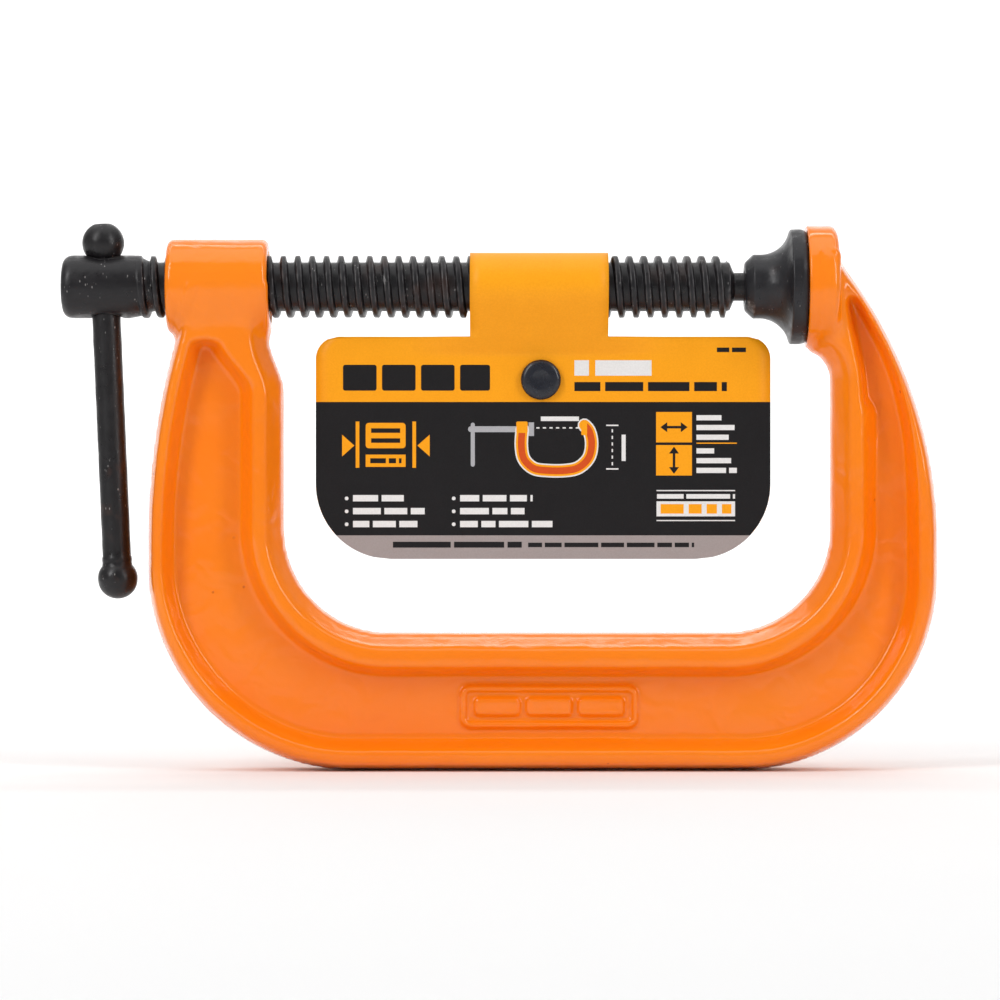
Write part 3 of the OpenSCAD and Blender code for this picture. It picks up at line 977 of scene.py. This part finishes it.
class Print:
    """Flat ink shapes just above a face of the card; u goes right and v down from its top left corner."""

    def __init__(self, side):
        self.side = side
        self.points, self.faces, self.inks = [], [], []
        self.laid = []

    def shape(self, ink, outline):
        """One filled polygon; it lies a hair above every earlier one that it may cover."""
        low, high = np.min(outline, axis=0), np.max(outline, axis=0)
        under = [level for a, b, level in self.laid if (a < high).all() and (b > low).all()]
        level = 1 + max(under, default=0)
        self.laid.append((low, high, level))
        y = self.side * (0.012 + 0.005 * level - FRONT_Y)
        start = len(self.points)
        for u, v in outline:
            x = CARD_LEFT + u if self.side < 0 else CARD_RIGHT - u
            self.points.append((x, y, CARD_TOP - v))
        self.faces.append(tuple(range(start, len(self.points))))
        self.inks.append(ink)

    def box(self, ink, u0, v0, u1, v1, r=0.0):
        """A rectangle, with round corners where r is given."""
        if r <= 0:
            return self.shape(ink, [(u0, v0), (u0, v1), (u1, v1), (u1, v0)])
        corners = [(u0 + r, v0 + r, 270), (u0 + r, v1 - r, 180), (u1 - r, v1 - r, 90), (u1 - r, v0 + r, 0)]
        outline = []
        for cu, cv, a0 in corners:
            for i in range(5):
                a = math.radians(a0 - 90 * i / 4)
                outline.append((cu + r * math.cos(a), cv + r * math.sin(a)))
        return self.shape(ink, outline)

    def words(self, ink, u0, v0, u1, v1, rng, mean=3.0):
        """Greeked text: a row of plain bars of word length."""
        u = u0
        gap = 0.45 * (v1 - v0) + 0.15
        while u < u1 - 0.4:
            length = min(rng.uniform(0.6, 1.5) * mean, u1 - u)
            self.box(ink, u, v0, u + length, v1)
            u += length + gap

    def stroke(self, ink, path, width):
        """A line of constant width with round ends along a path."""
        path = np.array(path, float)
        along = np.gradient(path, axis=0)
        along /= np.linalg.norm(along, axis=1)[:, None]
        across = np.stack([-along[:, 1], along[:, 0]], axis=1) * width / 2
        caps = []
        for end, sign in ((0, -1), (-1, 1)):
            d, n = along[end] * width / 2 * sign, across[end] * sign
            caps.append([path[end] + n * math.cos(a) + d * math.sin(a) for a in np.linspace(0, math.pi, 7)])
        self.shape(ink, list(path + across)[:-1] + caps[1] + list(path - across)[1:-1][::-1] + caps[0][:-1])

    def build(self, name, materials):
        """The whole print as one mesh, one material for each ink."""
        faces = [f if self.side < 0 else f[::-1] for f in self.faces]
        obj = new_object(name, self.points, faces, smooth=False)
        for m in materials.values():
            obj.data.materials.append(m)
        names = list(materials)
        for polygon, ink in zip(obj.data.polygons, self.inks):
            polygon.material_index = names.index(ink)
            if polygon.normal.y * self.side < 0:
                polygon.flip()
        return obj


BLACK_TOP_V = 14.4
GREY_TOP_V = 43.8


def bend(points, steps=6):
    """A smooth path through points."""
    p = np.array([points[0]] + list(points) + [points[-1]], float)
    t = np.linspace(0, 1, steps, endpoint=False)[:, None]
    path = []
    for a, b, c, d in zip(p, p[1:], p[2:], p[3:]):
        square = t ** 2 * (a - 2.5 * b + 2 * c - d / 2)
        cube = t ** 3 * (1.5 * (b - c) + (d - a) / 2)
        path.extend(b + t * (c - a) / 2 + square + cube)
    return path + [p[-1]]


def zone(v0, v1, steps=14):
    """The part of the card's outline between two heights."""
    left, right = [], []
    for v in np.linspace(v0, v1, steps):
        a, b = card_side(CARD_TOP - v)
        left.append((a - CARD_LEFT, v))
        right.append((b - CARD_LEFT, v))
    return left + right[::-1]


def draw_fields(p):
    """A black field under the amber head, and a grey foot."""
    p.shape("black", zone(BLACK_TOP_V, GREY_TOP_V))
    p.shape("grey", zone(GREY_TOP_V, CARD_TOP - CARD_FOOT))


def draw_front(p):
    """Head blocks, a size symbol, a clamp diagram, and greeked lines and boxes on the two fields."""
    rng = np.random.default_rng(11)
    draw_fields(p)
    for u0, u1 in ((6.0, 13.4), (14.6, 22.0), (23.2, 30.6), (31.8, 38.4)):
        p.box("black", u0, 6.2, u1, 11.9, 0.5)
    p.box("white", 57.0, 5.2, 60.2, 8.6)
    p.box("white", 61.6, 5.2, 74.0, 8.6)
    p.words("black", 57.0, 10.0, 90.6, 12.0, rng, 8.0)
    # size symbol: two arrowheads that point at two posts, and blocks between them
    for post, tip in ((9.2, 1), (21.7, -1)):
        p.box("amber", post - 0.4, 18.7, post + 0.4, 28.9)
        p.shape("amber", [(post - tip * 3.4, 21.6), (post - tip * 3.4, 26.4), (post - tip * 0.7, 24.0)])
    p.box("amber", 11.0, 19.0, 19.8, 24.6, 0.7)
    p.box("black", 12.2, 20.2, 18.6, 21.2)
    p.box("black", 12.2, 22.4, 18.6, 23.4)
    p.box("amber", 11.0, 26.0, 19.8, 28.7)
    p.words("black", 12.0, 26.8, 18.9, 27.9, rng, 2.4)
    # clamp diagram
    p.stroke("steel", [(34.6, 19.4), (34.6, 28.2)], 0.9)
    p.stroke("steel", [(34.2, 20.4), (46.6, 20.4)], 1.3)
    p.box("steel", 46.9, 18.9, 48.1, 21.9)
    hook = bend([(45.5, 20.4), (45.3, 24.0), (45.9, 27.0), (48.0, 29.0), (51.0, 29.5), (55.0, 29.5),
                 (58.0, 28.8), (60.2, 26.6), (60.8, 23.6), (60.3, 20.9), (59.2, 19.5)])
    for ink, width in (("white", 3.0), ("amber", 2.4), ("orange", 1.5)):
        p.stroke(ink, hook, width)
    p.box("amber", 44.2, 18.7, 46.7, 21.2, 0.3)
    p.box("amber", 58.5, 18.7, 59.8, 21.7, 0.3)
    for i in range(7):
        p.box("white", 48.6 + i * 1.45, 19.95, 49.3 + i * 1.45, 20.25)
    for i in range(6):
        p.box("white", 65.2, 20.4 + i * 1.45, 65.5, 21.1 + i * 1.45)
    p.box("white", 64.0, 19.4, 66.7, 19.7)
    p.box("white", 64.0, 29.0, 66.7, 29.3)
    p.words("white", 49.6, 17.6, 58.0, 18.6, rng, 9.0)
    p.box("white", 67.4, 21.6, 68.3, 27.4)
    # two amber squares with arrows, and their lines
    for v, flat in ((16.6, True), (23.9, False)):
        p.box("amber", 75.0, v, 82.9, v + 6.7)
        cu, cv = 78.95, v + 3.35
        along = (lambda a, b: (cu + a, cv + b)) if flat else (lambda a, b: (cu + b, cv + a))
        p.shape("black", [along(-1.7, -0.28), along(-1.7, 0.28), along(1.7, 0.28), along(1.7, -0.28)])
        for sign in (-1, 1):
            p.shape("black", [along(sign * 3.0, 0), along(sign * 1.5, -1.1), along(sign * 1.5, 1.1)])
        for i, end in enumerate((89.4, 92.4, 91.0) if flat else (87.8, 91.6, 92.8)):
            p.words("white", 83.9, v + 0.7 + 2.15 * i, end, v + 1.85 + 2.15 * i, rng, 9.0)
    p.box("amber", 83.9, 23.35, 92.8, 23.6)
    # feature lines with bullets
    for u, ends in ((6.4, (19.6, 24.0, 22.4)), (30.0, (47.8, 46.0, 52.6))):
        for i, end in enumerate(ends):
            v = 34.9 + 2.85 * i
            p.box("white", u, v + 0.35, u + 0.8, v + 1.15, 0.35)
            p.words("white", u + 1.8, v, end, v + 1.4, rng, 4.6)
    p.words("white", 75.2, 34.7, 92.4, 35.7, rng, 8.0)
    p.box("white", 75.1, 36.3, 92.4, 39.6)
    p.words("amber", 76.0, 36.9, 91.6, 39.0, rng, 3.6)
    for v in (33.8, 40.4):
        p.box("white", 75.1, v, 92.4, v + 0.25)
    p.words("black", 88.4, 2.4, 95.6, 3.4, rng, 3.0)
    p.words("black", 17.0, 45.2, 45.4, 46.5, rng, 9.0)
    p.words("black", 46.8, 45.4, 83.4, 46.4, rng, 5.0)


def draw_back(p):
    """Greeked lines and a bar box on the same fields."""
    rng = np.random.default_rng(23)
    draw_fields(p)
    for i in range(6):
        p.words("white", 8.0, 18.0 + 3.3 * i, 44.0 + (i % 3) * 3, 19.4 + 3.3 * i, rng, 5.0)
    for i in range(5):
        p.words("white", 56.0, 18.0 + 3.3 * i, 86.0 + (i % 2) * 4, 19.4 + 3.3 * i, rng, 5.0)
    p.box("white", 56.0, 35.2, 84.0, 41.4)
    p.words("black", 57.4, 36.6, 82.6, 37.8, rng, 5.0)
    p.words("black", 57.4, 38.8, 80.0, 40.0, rng, 5.0)
    p.words("black", 17.0, 45.2, 83.0, 46.5, rng, 6.0)


# ---------- the rivet
RIVET_X = (RIVET_LOW[0] + RIVET_HIGH[0]) / 2
RIVET_Z = (RIVET_LOW[2] + RIVET_HIGH[2]) / 2
RIVET_R = (RIVET_HIGH[0] - RIVET_LOW[0]) / 2
STEM_R = 1.75


def lathe_across(name, profile, segments=72):
    """A lathed piece whose axis runs along Y through the rivet's hole; the profile is [y, radius]."""
    obj = lathe(name, profile, segments)
    for vertex in obj.data.vertices:
        a, b, c = vertex.co
        vertex.co = (RIVET_X * MM - b, a, RIVET_Z * MM + c)
    obj.data.update()
    return obj


def build_rivet_button():
    """Dished front button with the stem that passes through both layers."""
    top = RIVET_LOW[1]
    seat = FRONT_Y - 0.03
    head = fillet_profile([(top, 0.0), (top, 2.6), (top + 0.2, RIVET_R - 0.75), (top + 0.75, RIVET_R - 0.05),
                           (seat, RIVET_R - 0.15), (seat, STEM_R)], [0, 0.6, 0.5, 0.4, 0.1, 0], 5)
    dish = [(top + 0.22, 0.4), (top + 0.18, 1.1), (top + 0.04, 1.9)]
    stem_end = -FRONT_Y + 1.0
    profile = [(top + 0.22, 0.0), *dish, *head[1:], (stem_end, STEM_R), (stem_end, 0.0)]
    return lathe_across("rivet_head", profile)


def build_rivet_cap():
    """Back half, bored for the stem."""
    top = CAP_HIGH[1]
    seat = -FRONT_Y + 0.03
    head = fillet_profile([(seat, STEM_R + 0.05), (seat, RIVET_R - 0.15), (top - 0.8, RIVET_R - 0.1),
                           (top - 0.2, RIVET_R - 0.8), (top, 2.4), (top, 0.0)], [0, 0.1, 0.4, 0.5, 0.5, 0], 5)
    bore = [(seat + 1.05, 0.0), (seat + 1.05, STEM_R + 0.05)]
    return lathe_across("rivet_socket", [*bore, *head])


# ---------- stage, lights and camera
def build_stage():
    """A seamless white sweep: floor, curve and wall in one sheet."""
    half, front, bend_y, bend_r, height = 2.6, -1.6, 0.9, 0.7, 3.0
    profile = [(front, 0.0), (bend_y, 0.0)]
    for i in range(1, 13):
        a = math.radians(90 * i / 12)
        profile.append((bend_y + bend_r * math.sin(a), bend_r * (1 - math.cos(a))))
    profile.append((bend_y + bend_r, height))
    points, faces = [], []
    for y, z in profile:
        points += [(-half / MM, y / MM, z / MM), (half / MM, y / MM, z / MM)]
    for i in range(len(profile) - 1):
        faces.append((2 * i, 2 * i + 1, 2 * i + 3, 2 * i + 2))
    sweep = new_object("studio_sweep", points, faces)
    shift(sweep, (0, 0, -0.05))
    sweep.data.materials.append(floor_material())


def softbox(name, place, target, size, energy):
    """A rectangular area light aimed at a point."""
    light = bpy.data.lights.new(name, "AREA")
    light.shape = "RECTANGLE"
    light.size, light.size_y = size
    light.energy = energy
    obj = bpy.data.objects.new(name, light)
    bpy.context.scene.collection.objects.link(obj)
    obj.location = place
    obj.rotation_euler = (Vector(target) - Vector(place)).to_track_quat("-Z", "Y").to_euler()


def build_lights():
    """Two side keys for the streaks along the edges, a top strip, a wash on the wall and a dim world."""
    world = bpy.data.worlds.new("studio")
    bpy.context.scene.world = world
    world.use_nodes = True
    world.node_tree.nodes["Background"].inputs[0].default_value = (1, 1, 1, 1)
    world.node_tree.nodes["Background"].inputs[1].default_value = 0.34
    middle = (0, 0, 0.06)
    softbox("key_left", (-0.75, -0.75, 0.75), middle, (0.22, 0.8), 6.0)
    softbox("key_right", (0.85, -0.65, 0.55), middle, (0.18, 0.8), 4.0)
    softbox("top_strip", (0.0, -0.15, 0.95), middle, (1.2, 0.7), 3.0)
    softbox("wall_wash", (0.0, 0.55, 1.2), (0, 1.6, 0.4), (2.2, 0.5), 20)


def build_camera():
    """Level with the middle of the clamp and square to it; span is the width of the view at the clamp."""
    distance, height, span = 0.85, 0.0594, 0.2205
    data = bpy.data.cameras.new("camera")
    data.sensor_width = 36.0
    data.lens = data.sensor_width * distance / span
    data.clip_start, data.clip_end = 0.01, 20
    camera = bpy.data.objects.new("camera", data)
    camera.location = (0, -distance, height)
    camera.rotation_euler = (math.radians(90), 0, 0)
    bpy.context.scene.collection.objects.link(camera)
    bpy.context.scene.camera = camera


def place(obj, body, slot, node=None, material=None):
    """Paints a piece, rides it on its body and hides the CAD node it stands for; slot is not used."""
    if material is not None:
        obj.data.materials.clear()
        obj.data.materials.append(material)
    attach(obj, body)
    if node:
        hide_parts(node)
    return obj


bpy.context.scene.view_settings.view_transform = "Standard"
build_camera()
build_lights()
build_stage()

place(build_casting(), "frame", "casting_enamel", "frame", enamel_material())
place(build_screw(), "screw", "screw_steel", "screw",
      black_oxide("screw_black", (0.009, 0.008, 0.0095), wear=0.6, rust=0.12, dust=0.6))
handle_steel = black_oxide("handle_black", (0.010, 0.009, 0.010), wear=0.3, rust=0.3, dust=0.6)
place(build_handle_bar(), "handle", "handle_steel", "handle_bar", handle_steel)
place(build_handle_ball(), "handle", "handle_steel", "handle_ball", handle_steel)
place(build_pad(), "pad", "pad_iron", "swivel_pad",
      black_oxide("pad_black", (0.014, 0.0135, 0.016), wear=0.25, rust=0.08, dust=0.45))

inks = {
    "amber": ink_material("ink_amber", (0.99, 0.37, 0.004)),
    "black": ink_material("ink_black", (0.008, 0.007, 0.008)),
    "grey": ink_material("ink_grey", (0.36, 0.31, 0.30)),
    "white": ink_material("ink_white", (0.80, 0.79, 0.78)),
    "steel": ink_material("ink_steel", (0.42, 0.42, 0.44)),
    "orange": ink_material("ink_orange", (0.66, 0.08, 0.008)),
}
card = place(build_card(), "card", "printed_card", "hang_card", inks["amber"])
soft_pieces = [card]
for side, name, draw in ((-1, "card_front_print", draw_front), (1, "card_back_print", draw_back)):
    sheet = Print(side)
    draw(sheet)
    soft_pieces.append(place(sheet.build(name, inks), "card", "printed_card"))
rivet = plastic_material()
soft_pieces.append(place(build_rivet_button(), "card", "rivet_plastic", "rivet_button", rivet))
soft_pieces.append(place(build_rivet_cap(), "card", "rivet_plastic", "rivet_cap", rivet))
# each card piece gets a mesh of its own
for piece in soft_pieces:
    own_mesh(piece)
